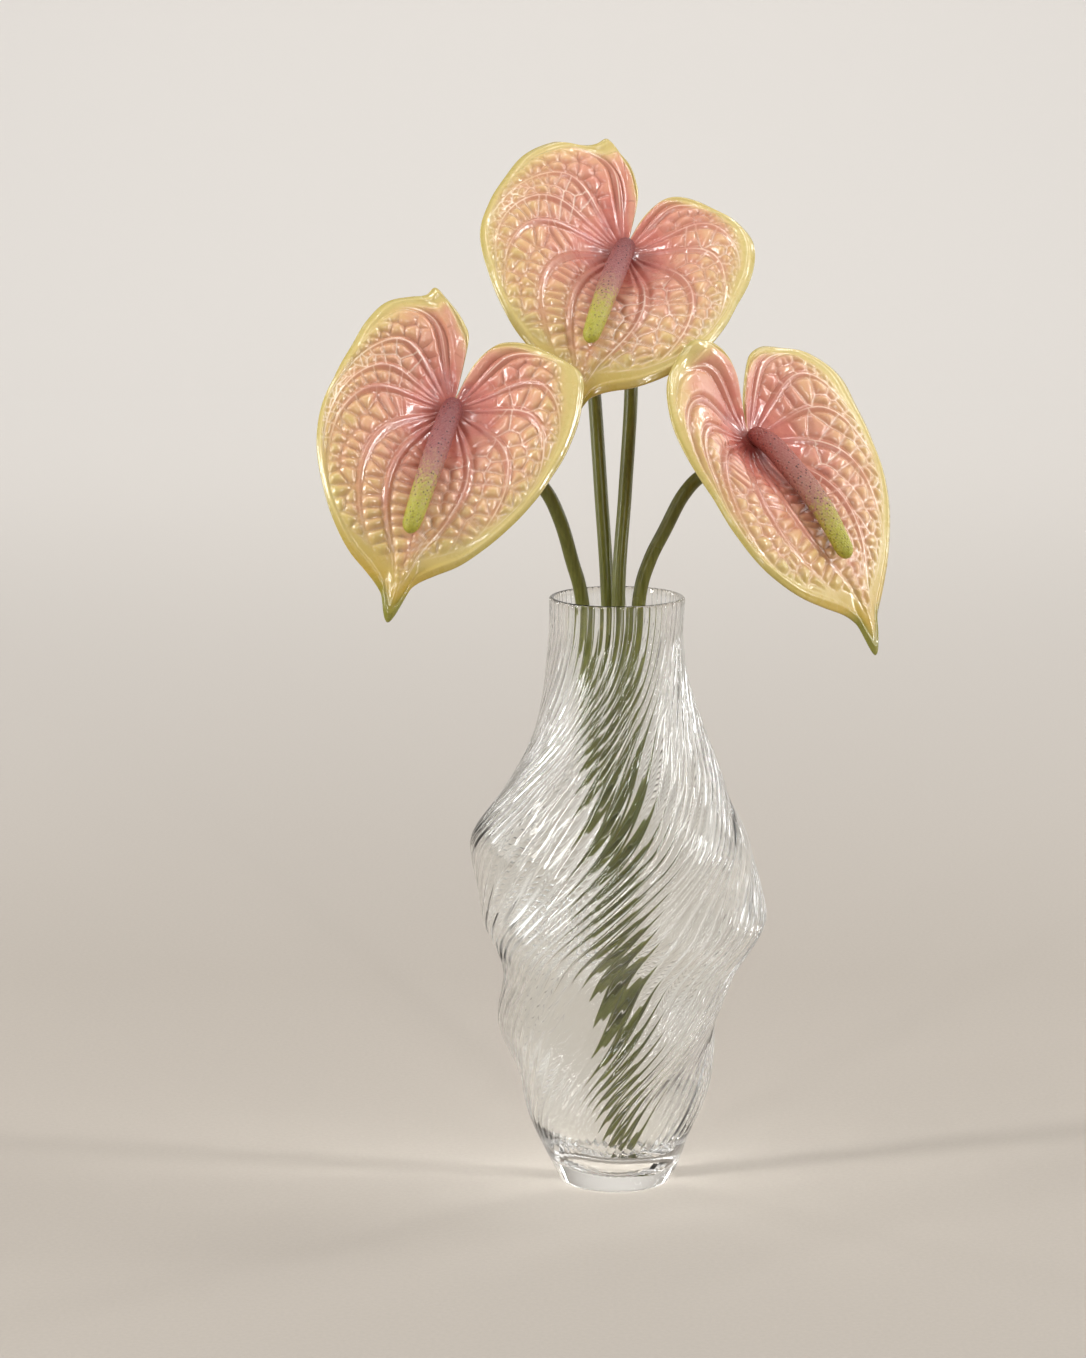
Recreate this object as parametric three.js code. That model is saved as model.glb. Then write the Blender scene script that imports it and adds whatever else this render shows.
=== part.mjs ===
// Anthurium flowers standing in a tall twisted vase of clear ribbed glass.
// Millimetres, Z up. The origin is the middle of the vase's flat base, and the front looks along -Y.

import * as THREE from 'three';

// Vase
const VASE_HEIGHT = 280;
const VASE_HEIGHTS = [0, 15, 40, 70, 100, 130, 160, 190, 220, 250, 265, 280];
const VASE_RADII = [26, 33, 42.5, 49.5, 52, 66.5, 65.5, 51.5, 38.5, 32.2, 31, 31.5];
const BASE_RADIUS = 24.5;
const HEEL_HEIGHT = 1.2;
const HEEL_INSET = 0.3;
const BODY_START = 4;
const GLASS_WALL = 2.6;
const GLASS_FLOOR = 9;
const FLOOR_CORNER = 2;
const LOBES = 3;
const LOBE_HEIGHTS = [0, 30, 80, 140, 200, 240, 280];
const LOBE_DEPTHS = [0, -1.4, 4.4, 3.6, 2.2, 1, 0];
const LOBE_SHARPNESS = 0.18;
const LOBE_START = 206;
const LOBE_TWIST = 1.26;
const RIBS = 58;
const RIB_HEIGHTS = [0, 10, 30, 60, 140, 200, 280];
const RIB_DEPTHS = [0, 0.1, 0.5, 0.8, 1, 0.7, 0.45];
const RIB_TWIST = 0.76;
const RIB_UPRIGHT_FROM = 235;
const RIB_UPRIGHT_OVER = 45;
const OUTER_ROWS = 27;
const INNER_ROWS = 14;
const INNER_SIDES = 36;

// Stems
const STEM_RADIUS = 3.2;
const STEM_SIDES = 8;
const STEM_STRAIGHT = 16;
const SEAT_GAP = 0.3;
const STEM_FOOT = GLASS_FLOOR + SEAT_GAP;

// Flowers: an outline is the blade's reach from the spadix root, at these angles from the tip
const OUTLINE_ANGLES = [0, 4, 9, 16, 26, 38, 52, 68, 85, 102, 118, 132, 144, 151, 155, 160, 166, 172, 177];
const NOTCH_REACH = 6;
const BLADE_THICKNESS = 1.2;
const HEAD_SEAT = BLADE_THICKNESS / 2 + SEAT_GAP;
const SEAT_RADIUS = 5;
const FUNNEL_DEPTH = 12;
const FUNNEL_RADIUS = 28;
const SIDE_SLOPE = 0.14;
const SIDE_ROUNDING = 6;
const SIDE_START = 10;
const MARGIN_CURL = 5;
const FULL_CURL_REACH = 50;
const TIP_DROOP = 10;
const DROOP_START = 60;
const DROOP_LENGTH = 50;
const NOTCH_SPREAD = 28;
const NOTCH_START = 40;
const PINCH_ANGLE = -155;
const PINCH_SPREAD = 7;
const PINCH_HEIGHT = 4;
const VEIN_BEND = 26;
const VEIN_HEIGHT = 0.6;
const PUFF_HEIGHT = 0.9;
const SADDLE_DEPTH = 0.2;
const BLADE_COLUMNS = 42;
const COLUMN_CROWDING = 0.045;
const BLADE_RINGS = 13;
const SMOOTH_RINGS = 2;

// Spadices: a bend is its share of the way to the tip, across and along, and its height
const SPADIX_RISE = 2.5;
const SPADIX_BENDS = [[0.08, 0.1, 8.6], [0.3, 0.3, 13.4], [0.65, 0.65, 19.2]];
const SPADIX_STATIONS = [0, 0.05, 0.14, 0.45, 0.85, 0.96, 1];
const SPADIX_RADII = [3.2, 4.4, 4.9, 5.3, 4.4, 3.7, 1.4];
const SPADIX_STEPS = 16;
const SPADIX_SIDES = 10;

// The young flower
const YOUNG_LENGTH = 58;
const YOUNG_STATIONS = [0, 0.3, 0.65, 0.9, 1];
const YOUNG_RADII = [3.2, 6.4, 4.9, 2.1, 0.8];
const YOUNG_OVERLAP = 0.16;
const YOUNG_WIND = 0.3;
const YOUNG_STEPS = 11;
const YOUNG_SIDES = 14;

// The angles of a flower are counted from a plane that leans back by this much
const FACING_LEAN = 10.1;

const FLOWERS = {
  left: {
    root: [-75.5, -44, 372.1],
    lean: 25,
    turn: 0,
    spin: -16,
    notchLift: 6,
    left: [106, 99, 93, 89, 82, 74, 67, 60, 54, 52, 54, 56, 54, 52, 54, 50, 44, 38, 32],
    right: [106, 91, 86.5, 82, 74.5, 67, 61, 57, 56, 57, 59, 52, 46, 42, 39.5, 36, 29, 19, 8],
    spadix: [-1.8, -75, 19.5],
    stem: [
      [0.5, -4, STEM_FOOT],
      [-5.2, -7.3, 100],
      [-11.4, -10.9, 200],
      [-16.6, -14, 282],
      [-21.1, -17, 299.5],
      [-26.6, -21, 318.7],
      [-33.5, -24, 333],
      [-46, -22.5, 344.5],
      [-59, -17, 350],
      [-70, -14.5, 353],
      [-76.5, -19.5, 356.5],
    ],
  },
  top: {
    root: [3.9, 38, 436.6],
    lean: 37,
    turn: -4,
    spin: -18,
    notchLift: 6,
    left: [104, 96, 90, 85, 81, 76, 72, 70, 66, 64, 65, 64, 58, 55.5, 56.5, 51, 45, 36, 27],
    right: [104, 94, 90, 88, 84, 78, 70, 63, 60.5, 58.5, 53, 46, 41.5, 38.5, 36.5, 33, 26, 17, 8],
    spadix: [-1, -76.5, 19.5],
    stem: [
      [7.8, 3.5, STEM_FOOT],
      [4.2, 2.8, 145],
      [0.7, 2, 280],
      [3.8, 11, 326.5],
      [6.7, 25, 372.5],
      [6.4, 37, 395],
      [4.2, 48, 408.5],
      [2.2, 53.5, 417],
    ],
  },
  right: {
    root: [61.1, -24, 356],
    lean: 12,
    turn: 44,
    spin: 31,
    notchLift: 15,
    left: [111, 100, 94, 91.5, 89, 84, 73, 62, 58, 56, 54, 53, 52, 52, 51.5, 50, 45.5, 39, 30],
    right: [111, 101, 92, 84, 75.5, 69, 63.5, 59, 57.5, 59.5, 57, 51, 46, 42, 39.5, 36, 28, 18, 8],
    spadix: [-8.2, -74.2, 19.5],
    stem: [
      [7.5, -4, STEM_FOOT],
      [8.9, -5, 145],
      [10.4, -6, 281],
      [15.1, -5, 297.7],
      [22.1, -5, 312],
      [30.5, -4, 328],
      [38, -2.5, 336],
      [46, -5.8, 339],
    ],
  },
};

const YOUNG_STEM = [
  [0.2, 4, STEM_FOOT],
  [-2, 6.7, 145],
  [-4.3, 9.5, 279],
  [-7.3, 17, 325.5],
  [-10.5, 30, 372],
  [-13, 40, 400],
];
const YOUNG_TIP = [-20, 62, 452];

const FINISHES = {
  glass: { color: '#eef1f0', roughness: 0.05, metalness: 0, transparent: true, opacity: 0.35 },
  stem: { color: '#5f6426', roughness: 0.45, metalness: 0 },
  blade: { color: '#dfa189', roughness: 0.3, metalness: 0 },
  spadix: { color: '#b98a78', roughness: 0.6, metalness: 0 },
  young: { color: '#9aa65c', roughness: 0.4, metalness: 0 },
};

const radians = THREE.MathUtils.degToRad;
const vector = (point) => new THREE.Vector3(...point);

// A smooth curve through the given heights that never overshoots them
function curveThrough(xs, ys) {
  const last = xs.length - 1;
  const slopes = xs.slice(1).map((x, i) => (ys[i + 1] - ys[i]) / (x - xs[i]));
  const tangents = xs.map((x, i) => {
    if (i === 0 || i === last) return slopes[Math.min(i, last - 1)];
    if (slopes[i - 1] * slopes[i] <= 0) return 0;
    const before = 2 * (xs[i + 1] - x) + (x - xs[i - 1]);
    const after = (xs[i + 1] - x) + 2 * (x - xs[i - 1]);
    return (before + after) / (before / slopes[i - 1] + after / slopes[i]);
  });
  return (x) => {
    let i = 0;
    while (i < last - 1 && x > xs[i + 1]) i += 1;
    const width = xs[i + 1] - xs[i];
    const t = THREE.MathUtils.clamp((x - xs[i]) / width, 0, 1);
    const rest = 1 - t;
    const ends = ys[i] * rest * rest * (1 + 2 * t) + ys[i + 1] * t * t * (3 - 2 * t);
    return ends + width * t * rest * (tangents[i] * rest - tangents[i + 1] * t);
  };
}

// Joins two closed rings of points, taking the next step on the ring that is behind.
// With rings alike, mirrored chooses the other diagonal of each four-sided field.
function stitch(faces, lower, lowerCount, upper, upperCount, mirrored) {
  let i = 0;
  let j = 0;
  while (i < lowerCount || j < upperCount) {
    const a = lower + (i % lowerCount);
    const b = upper + (j % upperCount);
    const ahead = (i + 1) / lowerCount - (j + 1) / upperCount;
    const stepLower = mirrored ? ahead < 0 : ahead <= 0;
    if (j === upperCount || (i < lowerCount && stepLower)) {
      faces.push(a, lower + ((i + 1) % lowerCount), b);
      i += 1;
    } else {
      faces.push(a, upper + ((j + 1) % upperCount), b);
      j += 1;
    }
  }
}

// Closes the flat end of a ring with a zigzag of triangles
function cap(faces, start, count, turned) {
  let a = 0;
  let b = count - 1;
  while (b - a > 1) {
    const next = (b - a) % 2 === (count - 1) % 2 ? a + 1 : b - 1;
    const corners = [start + a, start + next, start + b];
    faces.push(...(turned ? corners.reverse() : corners));
    if (next === a + 1) a = next;
    else b = next;
  }
}

// One closed solid from a stack of rings, with flat ends. Rings from foldedAt on lie behind
// the ones before them, so their fields are split along the same lines.
function ringSolid(name, rings, finish, foldedAt = rings.length) {
  const positions = rings.flat().flatMap((point) => point.toArray());
  const starts = [];
  let total = 0;
  for (const ring of rings) {
    starts.push(total);
    total += ring.length;
  }
  const faces = [];
  for (let i = 0; i + 1 < rings.length; i += 1) {
    stitch(faces, starts[i], rings[i].length, starts[i + 1], rings[i + 1].length, i >= foldedAt);
  }
  cap(faces, starts[0], rings[0].length, true);
  cap(faces, starts[rings.length - 1], rings[rings.length - 1].length, false);

  let volume = 0;
  const corner = (index) => new THREE.Vector3().fromArray(positions, 3 * index);
  for (let i = 0; i < faces.length; i += 3) {
    volume += corner(faces[i]).dot(corner(faces[i + 1]).cross(corner(faces[i + 2])));
  }
  if (volume < 0) faces.reverse();

  const geometry = new THREE.BufferGeometry();
  geometry.setAttribute('position', new THREE.Float32BufferAttribute(positions, 3));
  geometry.setIndex(faces);
  geometry.computeVertexNormals();
  const mesh = new THREE.Mesh(geometry, new THREE.MeshStandardMaterial(FINISHES[finish]));
  mesh.name = name;
  return mesh;
}

// A round bar along a curve, with its radius given along the way. Its steps are closer where
// the curve's own points are, and its rings don't turn about it on the way.
function bar(name, curve, steps, sides, radiusAt, finish) {
  const across = new THREE.Vector3(1, 0, 0);
  const rings = [];
  for (let i = 0; i <= steps; i += 1) {
    const along = i / steps;
    const tangent = curve.getTangent(along);
    across.addScaledVector(tangent, -across.dot(tangent)).normalize();
    const other = tangent.clone().cross(across);
    const ring = [];
    for (let j = 0; j < sides; j += 1) {
      const angle = (2 * Math.PI * j) / sides;
      const radius = radiusAt(along, angle);
      const point = curve.getPoint(along);
      point.addScaledVector(across, radius * Math.cos(angle));
      point.addScaledVector(other, radius * Math.sin(angle));
      ring.push(point);
    }
    rings.push(ring);
  }
  return ringSolid(name, rings, finish);
}

// The vase: a round profile with three broad lobes that wind up it, and fine ribs outside
// that wind more slowly and stand upright at the mouth
function vase() {
  const profile = curveThrough(VASE_HEIGHTS, VASE_RADII);
  const lobeDepth = curveThrough(LOBE_HEIGHTS, LOBE_DEPTHS);
  const ribDepth = curveThrough(RIB_HEIGHTS, RIB_DEPTHS);
  const wallRadius = (height, angle) => {
    const phase = LOBES * (angle - radians(LOBE_START + LOBE_TWIST * height));
    const wave = Math.cos(phase) + LOBE_SHARPNESS * Math.cos(2 * phase);
    return profile(height) + lobeDepth(height) * wave;
  };
  const ribShift = (height) => {
    const past = THREE.MathUtils.clamp(height - RIB_UPRIGHT_FROM, 0, RIB_UPRIGHT_OVER);
    const wound = Math.min(height, RIB_UPRIGHT_FROM) + past - (past * past) / (2 * RIB_UPRIGHT_OVER);
    return radians(RIB_TWIST * wound);
  };
  const ring = (height, count, radiusAt) => {
    const points = [];
    for (let i = 0; i < count; i += 1) {
      const angle = (2 * Math.PI * i) / count + ribShift(height);
      const radius = radiusAt(angle, i);
      points.push(new THREE.Vector3(radius * Math.cos(angle), radius * Math.sin(angle), height));
    }
    return points;
  };

  const outerSides = 2 * RIBS;
  const rings = [ring(0, outerSides, () => BASE_RADIUS)];
  rings.push(ring(HEEL_HEIGHT, outerSides, (angle) => wallRadius(HEEL_HEIGHT, angle) - HEEL_INSET));
  for (let row = 0; row < OUTER_ROWS; row += 1) {
    const height = THREE.MathUtils.lerp(BODY_START, VASE_HEIGHT, row / (OUTER_ROWS - 1));
    const crest = ribDepth(height) / 2;
    rings.push(ring(height, outerSides, (angle, i) => wallRadius(height, angle) + (i % 2 ? -crest : crest)));
  }
  for (let row = 0; row < INNER_ROWS; row += 1) {
    const height = THREE.MathUtils.lerp(VASE_HEIGHT, GLASS_FLOOR + FLOOR_CORNER, row / (INNER_ROWS - 1));
    rings.push(ring(height, INNER_SIDES, (angle) => wallRadius(height, angle) - GLASS_WALL));
  }
  const floorInset = GLASS_WALL + FLOOR_CORNER;
  rings.push(ring(GLASS_FLOOR, INNER_SIDES, (angle) => wallRadius(GLASS_FLOOR, angle) - floorInset));
  return ringSolid('vase', rings, 'glass');
}

// The blade's middle surface in the flower's own axes: x to its right, -y to its tip, z to its
// front. It is a funnel at the root, rises to both sides and over the notch, curls back along
// the margin and droops at the tip.
function bladeHeight(x, y, reach, notchLift) {
  const distance = Math.hypot(x, y);
  const fromNotch = 180 - Math.abs(THREE.MathUtils.radToDeg(Math.atan2(x, -y)));
  const out = Math.max(distance - SEAT_RADIUS, 0);
  const funnel = FUNNEL_DEPTH * (1 - Math.exp(-((out / FUNNEL_RADIUS) ** 2)));
  const sides = SIDE_SLOPE * (Math.hypot(x, SIDE_ROUNDING) - SIDE_ROUNDING) * Math.min(out / SIDE_START, 1);
  const curl = MARGIN_CURL * (distance / reach) ** 5 * Math.min(reach / FULL_CURL_REACH, 1) ** 2;
  const droop = TIP_DROOP * (Math.max(-y - DROOP_START, 0) / DROOP_LENGTH) ** 2;
  const notch = notchLift * Math.exp(-((fromNotch / NOTCH_SPREAD) ** 2)) * Math.min(out / NOTCH_START, 1);
  return funnel + sides + notch - curl - droop;
}

// The heart-shaped blade: rings of points from the spadix root out to the margin in front,
// and back again behind. Every second column is a raised vein that bends towards the tip,
// and every second field between two veins is a puffed cell. The columns stand closer
// together at the tip and at the notch.
function spathe(name, flower) {
  const angles = [
    ...OUTLINE_ANGLES.toReversed().map((angle) => -angle),
    ...OUTLINE_ANGLES.slice(1),
    180,
  ];
  const reaches = [...flower.left.toReversed(), ...flower.right.slice(1), NOTCH_REACH];
  const reachAt = curveThrough([-180, ...angles], [NOTCH_REACH, ...reaches]);
  const front = [];
  const back = [];
  for (let k = 0; k < BLADE_RINGS; k += 1) {
    const along = k / (BLADE_RINGS - 1);
    const frontRing = [];
    const backRing = [];
    for (let i = 0; i < BLADE_COLUMNS; i += 1) {
      const share = (2 * i) / BLADE_COLUMNS - 1;
      const end = 180 * (share - COLUMN_CROWDING * Math.sin(2 * Math.PI * share));
      const reach = reachAt(end);
      const distance = THREE.MathUtils.lerp(SEAT_RADIUS, reach, along);
      const angle = radians(end + VEIN_BEND * Math.sin(radians(end)) * (1 - along * along));
      const x = distance * Math.sin(angle);
      const y = -distance * Math.cos(angle);
      const pinch = PINCH_HEIGHT * Math.exp(-(((end - PINCH_ANGLE) / PINCH_SPREAD) ** 2)) * along ** 6;
      const fromEdge = Math.min(k, BLADE_RINGS - 1 - k);
      const cell = k % 2 ? PUFF_HEIGHT : -SADDLE_DEPTH;
      const relief = (i % 2 ? VEIN_HEIGHT : cell) * Math.min(fromEdge / SMOOTH_RINGS, 1);
      const z = bladeHeight(x, y, reach, flower.notchLift) + pinch + relief;
      frontRing.push(new THREE.Vector3(x, y, z + BLADE_THICKNESS / 2));
      backRing.push(new THREE.Vector3(x, y, z - BLADE_THICKNESS / 2));
    }
    front.push(frontRing);
    back.unshift(backRing);
  }
  return ringSolid(name, [...front, ...back], 'blade', BLADE_RINGS);
}

// The spadix rises from its root and leans over towards the blade's tip
function spadix(name, flower) {
  const [tipX, tipY] = flower.spadix;
  const path = new THREE.CatmullRomCurve3([
    new THREE.Vector3(0, 0, HEAD_SEAT),
    new THREE.Vector3(0, 0, HEAD_SEAT + SPADIX_RISE),
    ...SPADIX_BENDS.map(([across, along, height]) => new THREE.Vector3(across * tipX, along * tipY, height)),
    vector(flower.spadix),
  ]);
  const width = curveThrough(SPADIX_STATIONS, SPADIX_RADII);
  return bar(name, path, SPADIX_STEPS, SPADIX_SIDES, width, 'spadix');
}

// A cut stem from the glass floor up to the back of its flower
function stem(name, points) {
  const path = new THREE.CatmullRomCurve3(points);
  return bar(name, path, 2 * (points.length - 1), STEM_SIDES, () => STEM_RADIUS, 'stem');
}

// A young flower whose blade is still rolled up around its spadix
function youngFlower(name) {
  const base = vector(YOUNG_STEM.at(-1));
  const axis = vector(YOUNG_TIP).sub(base).normalize();
  const start = base.clone().addScaledVector(axis, SEAT_GAP);
  const end = start.clone().addScaledVector(axis, YOUNG_LENGTH);
  const path = new THREE.CatmullRomCurve3([start, start.clone().lerp(end, 0.5), end]);
  const width = curveThrough(YOUNG_STATIONS, YOUNG_RADII);
  const rolled = (along, angle) => {
    const turn = (angle / (2 * Math.PI) + YOUNG_WIND * along) % 1;
    return width(along) * (1 + YOUNG_OVERLAP * (turn - 0.5));
  };
  return bar(name, path, YOUNG_STEPS, YOUNG_SIDES, rolled, 'young');
}

const bouquet = new THREE.Group();
bouquet.add(vase());

for (const [side, flower] of Object.entries(FLOWERS)) {
  const facing = new THREE.Group();
  facing.rotation.x = Math.PI / 2 - radians(FACING_LEAN);
  facing.position.fromArray(flower.root);
  const head = new THREE.Group();
  head.rotation.set(-radians(flower.lean), radians(flower.turn), radians(flower.spin), 'ZXY');
  head.add(spathe(`spathe_${side}`, flower));
  head.add(spadix(`spadix_${side}`, flower));
  facing.add(head);
  bouquet.add(facing);
  bouquet.updateMatrixWorld(true);

  const behind = (distance) => head.localToWorld(new THREE.Vector3(0, 0, -distance));
  const points = [...flower.stem.map(vector), behind(HEAD_SEAT + STEM_STRAIGHT), behind(HEAD_SEAT)];
  bouquet.add(stem(`stem_${side}`, points));
}

bouquet.add(stem('stem_young', YOUNG_STEM.map(vector)));
bouquet.add(youngFlower('young_spathe'));

export default bouquet;
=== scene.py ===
import math
from functools import partial

import bpy
import numpy as np
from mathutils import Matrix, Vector


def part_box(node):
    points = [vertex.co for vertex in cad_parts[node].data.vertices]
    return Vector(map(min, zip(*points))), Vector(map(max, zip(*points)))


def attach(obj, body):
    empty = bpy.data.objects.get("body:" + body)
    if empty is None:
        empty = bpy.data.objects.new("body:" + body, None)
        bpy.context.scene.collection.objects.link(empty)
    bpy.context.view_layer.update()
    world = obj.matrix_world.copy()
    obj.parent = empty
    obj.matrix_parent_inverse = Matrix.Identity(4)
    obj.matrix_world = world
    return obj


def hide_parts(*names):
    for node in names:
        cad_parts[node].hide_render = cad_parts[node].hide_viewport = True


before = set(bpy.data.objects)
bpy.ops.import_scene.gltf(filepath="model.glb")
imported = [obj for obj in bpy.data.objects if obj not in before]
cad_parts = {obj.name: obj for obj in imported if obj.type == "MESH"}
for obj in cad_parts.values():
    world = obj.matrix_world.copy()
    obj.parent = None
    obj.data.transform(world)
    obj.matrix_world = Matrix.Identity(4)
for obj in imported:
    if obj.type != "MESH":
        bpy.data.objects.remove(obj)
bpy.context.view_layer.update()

bl_info = {
    "name": "Anthurium in a glass vase",
    "version": (1, 0, 0),
    "blender": (4, 5, 0),
    "location": "3D View > Sidebar > Anthurium",
    "description": "Builds waxy anthurium flowers on green stems in a tall twisted vase of ribbed glass",
    "category": "Add Mesh",
}

MM = 0.001

# Vase, in millimetres and degrees
VASE_HEIGHTS = [0, 15, 40, 70, 100, 130, 160, 190, 220, 250, 265, 280]
VASE_RADII = [26, 33, 42.5, 49.5, 52, 66.5, 65.5, 51.5, 38.5, 32.2, 31, 31.5]
BASE_RADIUS = 24.5
GLASS_FLOOR = 9.0
LOBES = 3
LOBE_HEIGHTS = [0, 30, 80, 140, 200, 240, 280]
LOBE_DEPTHS = [0, -1.4, 4.4, 3.6, 2.2, 1, 0]
LOBE_SHARPNESS = 0.18
LOBE_START = 206.0
LOBE_TWIST = 1.26
RIB_HEIGHTS = [0, 10, 30, 60, 140, 200, 280]
RIB_DEPTHS = [0, 0.04, 0.25, 0.75, 0.95, 0.75, 0.5]
RIB_TWIST = 0.76
RIB_UPRIGHT_FROM = 235.0
RIB_UPRIGHT_OVER = 45.0
RIB_ROUNDNESS = 0.9
RIB_CREASE = 0.07
# How the ribs' spacing and depth vary: the size of each wave, how often it goes round, and its phase
RIB_SPACING_WAVES = [(0.5, 5, 1.0), (0.35, 11, 2.6), (0.25, 17, 0)]
RIB_DEPTH_WAVES = [(0.3, 3, 0.8), (0.25, 8, 4.0)]
BUNCH_HEIGHTS = [0, 30, 80, 200, 250, 280]
BUNCH_SHARES = [0, 0.12, 0.33, 0.33, 0.12, 0]
HEEL_RADIUS = 2.2
BODY_START = 2.5
HOLLOW_RADIUS = 21.0
HOLLOW_DEPTH = 1.8
HOLLOW_SHARES = [0.3, 0.6, 0.8, 0.92, 1]
RIM_RADIUS = 1.3
FLOOR_CORNER = 21.0
THICK_FOOT = 1.0
THICK_FOOT_HEIGHT = 30.0

# Flowers: an outline is the blade's reach from the spadix root, at these angles from the tip
OUTLINE_ANGLES = [0, 4, 9, 16, 26, 38, 52, 68, 85, 102, 118, 132, 144, 151, 155, 160, 166, 172, 177]
NOTCH_REACH = 6.0
BLADE_THICKNESS = 1.2
SEAT_RADIUS = 5.0
FUNNEL_DEPTH = 12.0
FUNNEL_RADIUS = 28.0
SIDE_SLOPE = 0.14
SIDE_ROUNDING = 6.0
SIDE_START = 10.0
MARGIN_CURL = 5.0
FULL_CURL_REACH = 50.0
TIP_DROOP = 10.0
DROOP_START = 60.0
DROOP_LENGTH = 50.0
NOTCH_SPREAD = 28.0
NOTCH_START = 40.0
PINCH_ANGLE = -155.0
PINCH_SPREAD = 7.0
PINCH_HEIGHT = 4.0
COLUMN_BEND = 26.0
STRAIGHT_FROM = 158.0
STRAIGHT_AT = 176.0
COLUMN_CROWDING = 0.045
FACING_LEAN = 10.1

FLOWERS = {
    "left": {
        "root": (-75.5, -44, 372.1),
        "lean": 25,
        "turn": 0,
        "spin": -16,
        "notch_lift": 6,
        "left": [109, 98, 93, 89, 82, 74, 67, 60, 54, 52, 54, 56, 54, 52, 54, 50, 44, 38, 32],
        "right": [109, 92, 86.5, 82, 74.5, 67, 61, 57, 56, 57, 59, 52, 46, 42, 39.5, 36, 29, 19, 8],
        "spadix": (-1.8, -75, 19.5),
        "stem": [
            (0.5, -4, 9.3), (-5.2, -7.3, 100), (-11.4, -10.9, 200), (-16.6, -14, 282),
            (-21.1, -17, 299.5), (-26.6, -21, 318.7), (-33.5, -24, 333), (-46, -22.5, 344.5),
            (-59, -17, 350), (-70, -14.5, 353), (-76.5, -19.5, 356.5),
        ],
        "blush": 0.0,
        "folded_from": 140,
        "seed": 4,
    },
    "top": {
        "root": (3.9, 38, 436.6),
        "lean": 37,
        "turn": -4,
        "spin": -18,
        "notch_lift": 6,
        "left": [107, 96, 90, 85, 81, 76, 72, 70, 66, 64, 65, 64, 58, 55.5, 56.5, 51, 45, 36, 27],
        "right": [107, 94, 90, 88, 84, 78, 70, 63, 60.5, 58.5, 53, 46, 41.5, 38.5, 36.5, 33, 26, 17, 8],
        "spadix": (-1, -76.5, 19.5),
        "stem": [
            (7.8, 3.5, 9.3), (4.2, 2.8, 145), (0.7, 2, 280), (3.8, 11, 326.5), (6.7, 25, 372.5),
            (6.4, 37, 395), (4.2, 48, 408.5), (2.2, 53.5, 417),
        ],
        "blush": 0.02,
        "folded_from": 140,
        "seed": 11,
    },
    "right": {
        "root": (61.1, -24, 356),
        "lean": 12,
        "turn": 44,
        "spin": 31,
        "notch_lift": 15,
        "left": [114, 99, 94, 91.5, 89, 84, 73, 62, 58, 56, 54, 53, 52, 52, 51.5, 50, 45.5, 39, 30],
        "right": [114, 100, 92, 84, 75.5, 69, 63.5, 59, 57.5, 59.5, 57, 51, 46, 42, 39.5, 36, 28, 18, 8],
        "spadix": (-8.2, -74.2, 19.5),
        "stem": [
            (7.5, -4, 9.3), (8.9, -5, 145), (10.4, -6, 281), (15.1, -5, 297.7), (22.1, -5, 312),
            (30.5, -4, 328), (38, -2.5, 336), (46, -5.8, 339),
        ],
        "blush": 0.04,
        "folded_from": 96,
        "seed": 23,
    },
}

YOUNG_STEM = [
    (0.2, 4, 9.3), (-2, 6.7, 145), (-4.3, 9.5, 279), (-7.3, 17, 325.5), (-10.5, 30, 372),
    (-13, 40, 400),
]
YOUNG_TIP = (-20, 62, 452)
YOUNG_STATIONS = [0, 0.3, 0.65, 0.9, 1]
YOUNG_RADII = [3.2, 6.4, 4.9, 2.1, 0.8]
YOUNG_OVERLAP = 0.16
YOUNG_WIND = 0.3
YOUNG_LAP = 0.965
YOUNG_VEINS = 14
YOUNG_VEIN_HEIGHT = 0.012
YOUNG_FOLD_WIDTH = 0.05

SPADIX_RISE = 2.5
SPADIX_BENDS = [(0.08, 0.1, 8.6), (0.3, 0.3, 13.4), (0.65, 0.65, 19.2)]
SPADIX_STATIONS = [0, 0.05, 0.14, 0.45, 0.85, 0.96, 1]
SPADIX_RADII = [3.2, 4.4, 4.9, 5.3, 4.4, 3.7, 1.4]
SPADIX_ROUND_FROM = 0.93
# Florets sit between two families of spirals. Each family has its number of spirals, negative
# where they wind the other way, and the millimetres from one spiral to the next along the spadix.
SPADIX_SPIRALS = [(24, 2.86), (-18, 2.34)]
BEAD_HEIGHT = 0.28
SEAT_GAP = 0.3
STEM_STRAIGHT = 16.0
STEM_FLARE = 0.35

# Veins of a blade: each starts at the spadix root at an angle from the tip and bends to the tip.
# VEIN_TURN is how much of its angle it has lost at VEIN_END of the way out, and VEIN_POWER how late.
VEIN_STARTS = {-1: [28, 54, 84, 108, 131, 156], 1: [31, 66, 98, 123, 152]}
# A cell's length along its vein, and how many lengths wide a row of cells may be, on each half.
# Beside the tip one row of rungs fills the space between two veins, and the lobes have two rows.
CELL_SHARES = {-1: 0.86, 1: 1.0}
RUNG_WIDTHS = {-1: 3.4, 1: 2.2}
ROW_WIDTHS = {-1: 1.9, 1: 1.7}
RUNGS_BELOW = 100.0
CELLS_FROM = 0.24
CELLS_TO = 0.93
LAST_CELL = 0.97
CELL_STEP = 0.02
MEAN_REACH = 70.0
FIRST_VEIN = 0.5
LAST_VEIN = 176
# How far chance moves a vein, in degrees, and a cell, in widths of its row and in its own lengths
VEIN_SCATTER = 2.0
ROW_SCATTER = 0.08
CELL_SCATTER = 0.2
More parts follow.
